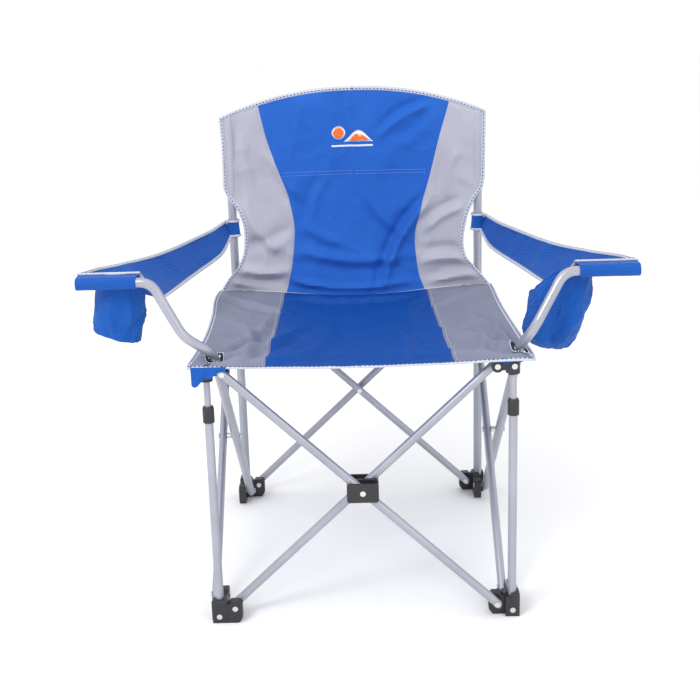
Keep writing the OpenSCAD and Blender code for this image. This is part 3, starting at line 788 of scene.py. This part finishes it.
for sx in SIDES:
    for part in SURFACES:
        for panel in PANEL_COLS:
            sling_panel(part, panel, sx)
        sling_binding(part, sx)
        panel_stitches(part, sx)
    cross_seam(sx)
    slit_binding(sx)
    sleeve(sx)

# ---- a plain embroidered badge: a round sun beside a low hill over a bar ---------------------

BADGE = Vector((-0.002, 0, 0.836))
ROW_PITCH = 0.0011  # between the rows of thread


def satin(outline):
    """Upright rows (x, low z, high z) that fill a closed outline of (x, z) points."""
    spans = []
    low = min(p[0] for p in outline)
    high = max(p[0] for p in outline)
    for i in range(int((high - low) / ROW_PITCH)):
        x = low + (i + 0.5) * ROW_PITCH
        hits = []
        for (x0, z0), (x1, z1) in zip(outline, outline[1:] + outline[:1]):
            if (x0 > x) != (x1 > x):
                hits.append(z0 + (z1 - z0) * (x - x0) / (x1 - x0))
        hits.sort()
        spans += [(x, a, b) for a, b in zip(hits[::2], hits[1::2]) if b - a > 0.0006]
    return spans


def disc(x, z, r, steps=28):
    return [(x + r * math.cos(2 * math.pi * i / steps), z + r * math.sin(2 * math.pi * i / steps))
            for i in range(steps)]


def hill(x0, x1, z, height, steps=24):
    return [(mix(x0, x1, i / steps), z + height * math.sin(math.pi * i / steps) ** 1.5)
            for i in range(steps + 1)]


def badge():
    bar = [(-0.046, -0.019), (0.046, -0.019), (0.046, -0.0145), (-0.046, -0.0145)]
    white = [disc(-0.030, 0.012, 0.0150), hill(-0.020, 0.048, -0.008, 0.026), bar]
    orange = [disc(-0.030, 0.012, 0.0125), hill(-0.012, 0.042, -0.006, 0.019)]
    shapes = ((WHITE_STITCH, "badge_white", white), (ORANGE_STITCH, "badge_orange", orange))
    up = FRONT_FACING["back"]
    for layer, (look, name, outlines) in enumerate(shapes):
        for sx in SIDES:
            spans = []
            for outline in outlines:
                for x, a, b in satin(outline):
                    gx = BADGE.x + x
                    if (gx < 0) != (sx < 0):
                        continue
                    lift = up * (0.0004 + 0.0006 * layer)
                    spans.append((on_back(sx, abs(gx), BADGE.z + a) + lift,
                                  on_back(sx, abs(gx), BADGE.z + b) + lift, up))
            obj = threads(f"{name}_{SIDES[sx]}", spans, look, 0.00075)
            fold_up(obj, "back", sx)


badge()

# ---- armrests -----------------------------------------------------------------------------

# Outer and inner edge of the strip, x and then z, against the share of the way from the post to the hem
REST_OUTER_X = ((0.0, 0.2905), (0.15, 0.322), (0.51, 0.390), (0.73, 0.446), (0.87, 0.483), (1.0, 0.494))
REST_INNER_X = ((0.0, 0.2780), (0.15, 0.290), (0.33, 0.316), (0.60, 0.345), (0.82, 0.361), (0.92, 0.366),
                (1.0, 0.384))
REST_OUTER_Z = ((0.0, 0.662), (0.15, 0.652), (0.51, 0.649), (0.73, 0.654), (0.87, 0.660), (1.0, 0.6665))
REST_INNER_Z = ((0.0, 0.628), (0.15, 0.605), (0.33, 0.596), (0.60, 0.594), (0.82, 0.598), (0.92, 0.615),
                (1.0, 0.6665))
REST_FOLD_Y = {-1: -0.02, 1: 0.07}  # where one fold crosses each strip
REST_Z = HEM.z + 0.0005
REST_ROWS, REST_COLS = 108, 26
REST_REAR_Y, REST_FRONT_Y = POST.y - 0.003, -0.262
HEM_R, HEM_IN_X = 0.0112, 0.3875  # radius of the rolled hem and where its inner end is
LOOP_HALF, LOOP_Z = 0.0175, 0.645  # half height and middle of the loop round the post
CUP_HOLE_R = 0.0415


def rest_point(sx, s, t):
    """s is -1 at the inner edge and +1 at the outer; t is 0 at the post and 1 at the front hem."""
    y = mix(REST_REAR_Y, REST_FRONT_Y, t)
    share = (s + 1) / 2
    x = mix(through(REST_INNER_X, t), through(REST_OUTER_X, t), share)
    z = mix(through(REST_INNER_Z, t), through(REST_OUTER_Z, t), share)
    slack = smooth(t / 0.15) * smooth((1 - t) / 0.06)
    z -= 0.005 * slack * (1 - s * s)
    z += 1.2 * slack * (1 - s ** 4) * crumple(sx * x, y, 6.6 + sx)
    waves = ripple(x * 16 * sx, y * 13, 7.7) + 0.6 * ripple(x * 40 * sx, y * 30, 1.9)
    z += 0.0040 * slack * (1 - s ** 4) * waves
    fold_y = REST_FOLD_Y[sx] - 0.25 * (x - 0.36)
    z += 0.0050 * slack * (1 - s * s) * (bell(y - fold_y, 0.007) - 0.8 * bell(y - fold_y - 0.016, 0.010))
    z += 0.0030 * slack * (1 - s * s) * bell(y + 0.14 - 0.3 * (x - 0.40), 0.009)
    return Vector((sx * x, y, z))


def hold_armrest(obj):
    """Bakes the piece's placement into its mesh, without hanging it on the back or the arm tube."""
    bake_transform(obj)


def rest_strip(sx):
    points = [rest_point(sx, 2 * j / (REST_COLS - 1) - 1, i / (REST_ROWS - 1))
              for i in range(REST_ROWS) for j in range(REST_COLS)]
    keep = None
    if sx < 0:
        centre = Vector((CUP.x, CUP.y, 0))

        def away(p):
            return Vector((p.x - centre.x, p.y - centre.y, 0))

        for i, p in enumerate(points):
            d = away(p)
            if CUP_HOLE_R * 0.90 < d.length < CUP_HOLE_R:
                d = d.normalized() * CUP_HOLE_R
                points[i] = Vector((centre.x + d.x, centre.y + d.y, p.z))

        def keep(face):
            return away(sum((points[n] for n in face), Vector()) / 4).length > CUP_HOLE_R * 0.985

    faces = grid_faces(REST_ROWS, REST_COLS, flip=sx > 0, keep=keep)
    used = sorted({n for face in faces for n in face})
    order = {n: i for i, n in enumerate(used)}
    obj = mesh_object("cloth_armrest_" + SIDES[sx], [points[n] for n in used],
                      [tuple(order[n] for n in face) for face in faces], BLUE_ARM_PAINTED_SHADE)
    thicken(obj, 0.0016)
    hold_armrest(obj)
    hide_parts("armrest_" + SIDES[sx])


def rest_hem(sx):
    """Front hem rolled round the level end of the arm tube."""
    profile = [(REST_FRONT_Y, REST_OUTER_Z[-1][1] - 0.0005)]
    for i in range(21):
        a = math.radians(mix(78, 292, i / 20))
        profile.append((HEM.y + HEM_R * math.cos(a), HEM.z + HEM_R * math.sin(a)))
    profile += [(HEM.y + 0.013, HEM.z - 0.0085), (REST_FRONT_Y, REST_Z - 0.0050)]
    cols = 34
    points = []
    for i, (y, z) in enumerate(profile):
        share = min(max((REST_FRONT_Y - y) / (REST_FRONT_Y - HEM.y), 0), 1)
        x_in = mix(REST_INNER_X[-1][1], HEM_IN_X, share)
        x_out = mix(REST_OUTER_X[-1][1], HEM_OUT_X - 0.001, share)
        for j in range(cols):
            x = mix(x_in, x_out, j / (cols - 1))
            swell = 0.0016 * ripple(x * 30 * sx, i * 0.35, 9.3)
            points.append(Vector((sx * x, y - swell * share, z + swell * 0.5)))
    faces = grid_faces(len(profile), cols, flip=sx > 0)
    obj = mesh_object("cloth_hem_" + SIDES[sx], points, faces, BLUE_HUNG)
    thicken(obj, 0.0012)
    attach(obj, "arm_" + SIDES[sx])


def rest_piping(sx):
    """Pale piping down both edges of the strip and across in front, with its overlock stitches."""
    count = 130
    edge_in = [rest_point(sx, -1, i / count) for i in range(count + 1)]
    edge_out = [rest_point(sx, 1, i / count) for i in range(count + 1)]
    front = [rest_point(sx, -1 + 2 * j / 30, 1.0) + Vector((0, 0, 0.001)) for j in range(31)]
    side = SIDES[sx]
    spans = []
    for name, path in (("inner", edge_in), ("outer", edge_out), ("front", front)):
        other = {"inner": edge_out, "outer": edge_in}.get(name)
        if other:
            inward = [(b - a).normalized() for a, b in zip(path, other)]
        else:
            inward = [Vector((0, 1, 0))] * len(path)
        obj = sweep(f"piping_{name}_{side}", path, inward, PALE, 0.0036, 0.0022, inset=0.0016)
        hold_armrest(obj)
        up = Vector((0, 0, 1))
        shift = [a * 0.0022 + up * 0.0019 for a in inward]
        spans += stitch_line(path, [up] * len(path), *OVERLOCK, shift)
    dots = threads("piping_stitch_" + side, spans, STITCH, 0.0010)
    hold_armrest(dots)


def post_loop(sx):
    """The armrest's rear end, wrapped round the back post."""
    steps, rings = 36, 9
    radius = POST_R + 0.0040
    points = []
    for i in range(rings):
        t = i / (rings - 1)
        z = LOOP_Z + mix(-LOOP_HALF, LOOP_HALF, t)
        for k in range(steps):
            a = 2 * math.pi * k / steps
            r = radius + 0.0012 * math.cos(2 * a + 3 * t) + 0.0010 * (2 * t - 1) ** 2
            points.append(Vector((sx * (POST.x + r * math.cos(a)), POST.y + r * math.sin(a), z)))
    obj = mesh_object("cloth_post_loop_" + SIDES[sx], points,
                      grid_faces(rings, steps, wrap=True, flip=sx < 0), BLUE_HUNG)
    thicken(obj)
    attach(obj, "rear_" + SIDES[sx])
    for i, name in ((0, "low"), (rings - 1, "high")):
        path = points[i * steps:(i + 1) * steps]
        inward = [Vector((0, 0, 1 if i == 0 else -1))] * steps
        ring = sweep(f"loop_piping_{name}_{SIDES[sx]}", path, inward, PALE, 0.0026, 0.0019,
                     closed=True, inset=0.001)
        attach(ring, "rear_" + SIDES[sx])


for sx in SIDES:
    rest_strip(sx)
    rest_hem(sx)
    rest_piping(sx)
    post_loop(sx)

# ---- what hangs on the armrests --------------------------------------------------------------


def rest_height(sx, x, y):
    """Height of an armrest strip at a place."""
    t = min(max((REST_REAR_Y - y) / (REST_REAR_Y - REST_FRONT_Y), 0.0), 1.0)
    inner, outer = through(REST_INNER_X, t), through(REST_OUTER_X, t)
    share = min(max((abs(x) - inner) / (outer - inner), 0.0), 1.0)
    return rest_point(sx, 2 * share - 1, t).z


CUP_SLACK = 0.012  # how far the loose bottom hangs below the solid, before its lean
CUP_WALL = 0.80  # share of the profile's rings that make the wall; the rest close the bottom


def cup_bag():
    """Round cup holder: a soft bucket that leans and wrinkles a little, with a slack bottom."""
    rings, steps = 40, 56
    bottom = CUP_LOW.z - CUP_SLACK
    radius = CUP_HIGH.x - CUP.x
    points = []
    for i in range(rings):
        t = i / (rings - 1)
        depth = min(t / CUP_WALL, 1.0)
        floor_share = max((t - CUP_WALL) / (1 - CUP_WALL), 0.0)
        for k in range(steps):
            a = 2 * math.pi * k / steps
            c, s = math.cos(a), math.sin(a)
            r = radius * (1 - 0.10 * depth ** 1.5) * math.cos(floor_share * math.pi / 2) ** 0.55
            fold = 0.0030 * math.sin(3 * a + 1.0 + 2.2 * depth) * depth
            fold += 0.0060 * ripple(2.2 * c, 2.2 * s + depth * 3.2, 4.0) * smooth(depth * 2)
            fold += 0.0036 * ripple(4 * c, 4 * s + depth * 7, 8.0) * smooth(depth * 2)
            fold += 0.9 * crumple(0.13 * c, 0.13 * s + 0.12 * depth, 7.3) * smooth(depth * 2)
            r = max(r - 0.002 + fold * (1 - 0.8 * floor_share), 0.0004)
            x = CUP.x - 0.014 * depth + r * c
            y = CUP.y + 0.003 * depth + r * s
            top = rest_height(-1, CUP.x + r * c, y) - 0.0015
            low = bottom - 0.30 * (x - CUP.x) - 0.004 * math.sin(floor_share * math.pi / 2)
            points.append(Vector((x, y, mix(top, low, depth))))
    obj = mesh_object("cloth_cup_holder", points, grid_faces(rings, steps, wrap=True, flip=True), BLUE_HUNG)
    thicken(obj)
    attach(obj, "arm_left")
    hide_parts("cup_holder")
    mouth_r, count = CUP_HOLE_R + 0.001, 64
    path = []
    for k in range(count):
        a = 2 * math.pi * k / count
        path.append(Vector((CUP.x + mouth_r * math.cos(a), CUP.y + mouth_r * math.sin(a), 0)))
    for p in path:
        p.z = rest_height(-1, p.x, p.y) + 0.0006
    inward = [Vector((p.x - CUP.x, p.y - CUP.y, 0)).normalized() for p in path]
    ring = sweep("cup_mouth_piping", path, inward, PALE, 0.0028, 0.0019, closed=True)
    hold_armrest(ring)


POUCH_SLACK = 0.022  # how far the loose cloth hangs below the solid
POUCH_RIM_DROP = 0.020  # how much lower the rear rim is than the front one
# Left and right outline of the pouch seen from the front, x against z, and its share of full depth against z
POUCH_LEFT = ((0.515, 0.352), (0.517, 0.338), (0.527, 0.318), (0.545, 0.307), (0.590, 0.316), (0.6505, 0.334))
POUCH_RIGHT = ((0.515, 0.358), (0.517, 0.374), (0.530, 0.392), (0.545, 0.402), (0.590, 0.418),
               (0.6505, 0.424))
POUCH_THICK = ((0.515, 0.10), (0.520, 0.45), (0.540, 0.80), (0.590, 1.0))


def pouch_bag():
    """Slack storage pouch under the right armrest; its rear rim is lower, so that a hand gets in."""
    rings, steps = 46, 60
    top, bottom = POUCH_HIGH.z - 0.0005, POUCH_LOW.z - POUCH_SLACK
    mid_y = (POUCH_LOW.y + POUCH_HIGH.y) / 2
    half_y = (POUCH_HIGH.y - POUCH_LOW.y) / 2
    points = []
    for i in range(rings):
        t = i / (rings - 1)
        for k in range(steps):
            a = 2 * math.pi * k / steps
            c, s = math.cos(a), math.sin(a)
            rim_x = mix(POUCH_LEFT[-1][1], POUCH_RIGHT[-1][1], (c + 1) / 2)
            strip_z = rest_height(1, rim_x, mid_y + half_y * s)
            rim = min(top, strip_z - 0.004) - POUCH_RIM_DROP * smooth((s - 0.35) / 0.5)
            z = mix(rim, bottom, math.sin(t * math.pi / 2) ** 1.15)
            full_z = top - (top - z) * (top - POUCH_LOW.z) / (top - bottom)
            left, right = through(POUCH_LEFT, full_z), through(POUCH_RIGHT, full_z)
            square = 1 / (abs(c) ** 2.6 + abs(s) ** 2.6) ** (1 / 2.6)
            thick = half_y * through(POUCH_THICK, full_z)
            depth = (top - z) / (top - bottom)
            fold = 0.0085 * ripple(2.4 * c + 1.1, 2.0 * s + depth * 3.6, 2.5) * smooth(depth * 3)
            fold += 0.0060 * ripple(4.5 * c, 4.5 * s + depth * 8.0, 6.5) * smooth(depth * 3)
            fold += 1.3 * crumple(0.16 * c, 0.16 * s + 0.16 * depth, 3.3) * smooth(depth * 3)
            x = (left + right) / 2 + ((right - left) / 2 + fold) * c * square
            y = mid_y + (thick + fold) * s * square
            points.append(Vector((x, y, z)))
    obj = mesh_object("cloth_side_pouch", points, grid_faces(rings, steps, wrap=True, flip=True), BLUE_HUNG)
    thicken(obj)
    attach(obj, "arm_right")
    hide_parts("side_pouch")
    rim = points[:steps]
    inward = [Vector((0, 0, -1))] * steps
    ring = sweep("pouch_rim_hem", rim, inward, BLUE_HUNG, 0.0030, 0.0016, closed=True, inset=0.002)
    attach(ring, "arm_right")


def corner_flap(sx):
    """Cloth tab that hangs from the seat's front corner, in front of the bracket."""
    low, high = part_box("seat_corner_" + SIDES[sx])
    rows, cols = 12, 28
    points = []
    for i in range(rows):
        t = i / (rows - 1)
        for j in range(cols):
            u = j / (cols - 1)
            out = u if sx > 0 else 1 - u
            reach = 1.0 - 0.72 * smooth((1 - out) / 0.95) if sx < 0 else 1.0 - 0.5 * out
            z = high.z - t * (high.z - low.z) * reach * (1 + 0.09 * math.sin(13 * u))
            y = low.y + 0.0010 + 0.0026 * t * math.sin(14 * u + 2.5 * t)
            points.append(Vector((mix(low.x, high.x, u), y, z)))
    obj = mesh_object("cloth_corner_flap_" + SIDES[sx], points, grid_faces(rows, cols, flip=True), BLUE_HUNG)
    thicken(obj, 0.0010)
    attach(obj, "front_top_" + SIDES[sx])
    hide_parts("seat_corner_" + SIDES[sx])


cup_bag()
pouch_bag()
for sx in SIDES:
    corner_flap(sx)

# ---- floor and light ---------------------------------------------------------------------------


def studio():
    size = 60
    count = 9
    points = [Vector((size * (i / (count - 1) - 0.5), size * (j / (count - 1) - 0.5), -0.0005))
              for j in range(count) for i in range(count)]
    floor = mesh_object("floor", points, grid_faces(count, count), floor_paper())
    world = bpy.data.worlds.new("white_room")
    bpy.context.scene.world = world
    world.use_nodes = True
    world.node_tree.nodes["Background"].inputs["Color"].default_value = (1, 1, 1, 1)
    world.node_tree.nodes["Background"].inputs["Strength"].default_value = 1.06
    lamps = (
        ("key_light", (-1.5, -2.2, 2.6), 1.1, 46),
        ("fill_light", (2.0, -2.2, 1.6), 1.8, 12),
        ("top_light", (0.0, -0.2, 3.0), 2.2, 6),
    )
    for name, place, width, power in lamps:
        data = bpy.data.lights.new(name, "AREA")
        data.shape = "SQUARE"
        data.size = width
        data.energy = power
        lamp = bpy.data.objects.new(name, data)
        lamp.location = place
        lamp.rotation_mode = "QUATERNION"
        lamp.rotation_quaternion = (Vector((0, 0, 0.5)) - Vector(place)).to_track_quat("-Z", "Y")
        bpy.context.scene.collection.objects.link(lamp)
    bpy.context.scene.view_settings.view_transform = "Standard"


studio()
